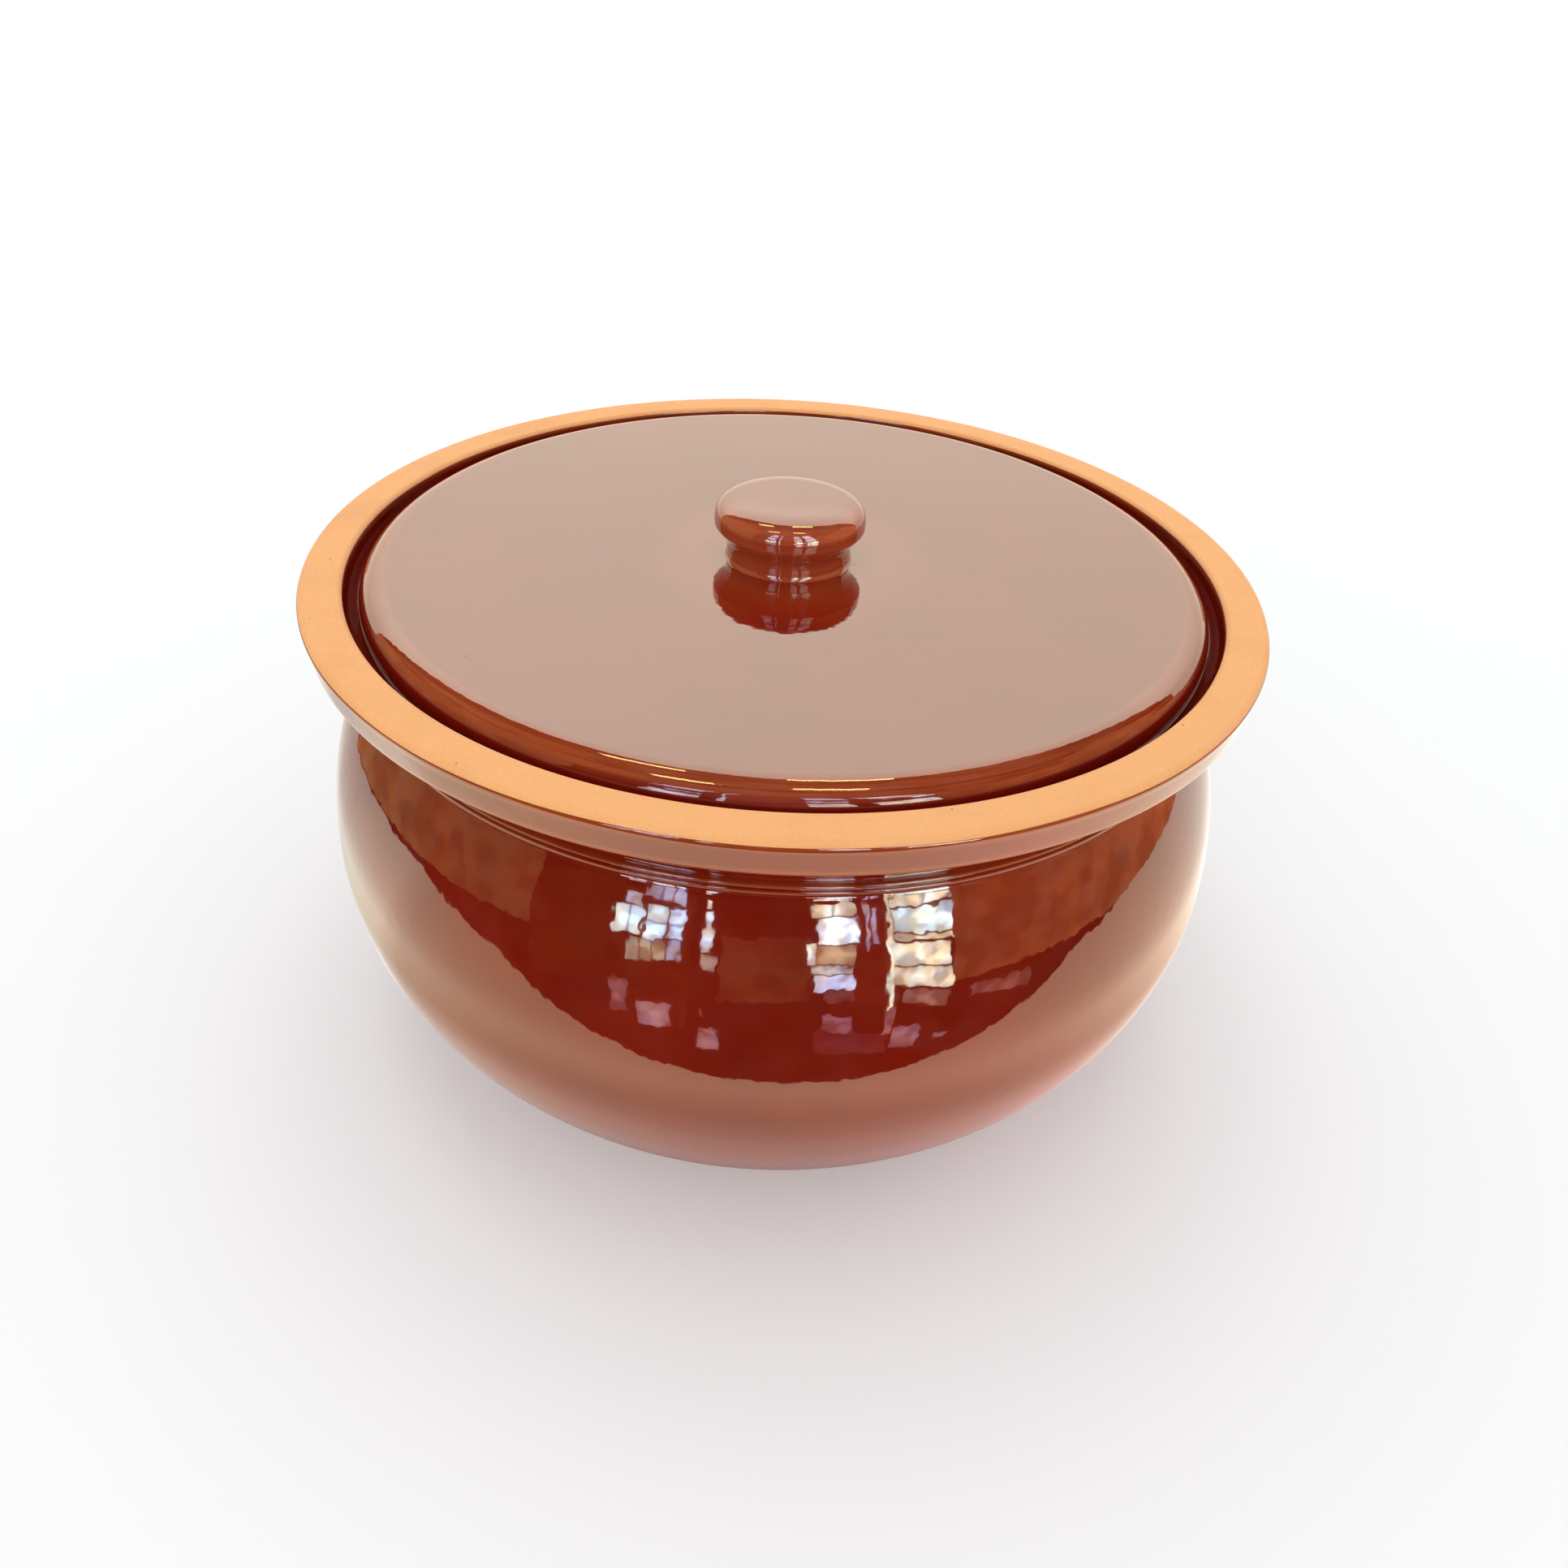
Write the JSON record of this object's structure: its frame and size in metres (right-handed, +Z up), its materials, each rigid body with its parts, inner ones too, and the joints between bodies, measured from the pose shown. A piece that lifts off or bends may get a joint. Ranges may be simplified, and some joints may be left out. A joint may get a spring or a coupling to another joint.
{
  "type": "ceramic casserole pot",
  "caption": "Round-bellied earthenware casserole with a bare clay rim, a flat lid let into the rim and a turned knob.",
  "frame": {"origin": "centre of the ring the pot stands on, on the table", "axes": "+Z up along the pot's axis; the pot is round, so +X and +Y are free, and -Y is the side towards the viewer of the picture"},
  "size_m": [0.28, 0.28, 0.1776],
  "materials": {
    "pot_glaze": "deep glossy red-brown glaze over red clay",
    "lid_glaze": "glossy orange-brown glaze, lighter where it is thin on the edges",
    "knob_glaze": "glossy orange-brown glaze",
    "bare_clay": "matte pale terracotta, unglazed, on the rim and under the foot"
  },
  "bodies": {
    "pot": {"pot": "pot_glaze"},
    "lid": {"lid": "lid_glaze", "knob": "knob_glaze"}
  },
  "joints": [
    {"name": "lid_lift", "type": "slide", "parent": "pot", "child": "lid", "axis": [0, 0, 1], "range_m": [0, 0.12]}
  ]
}
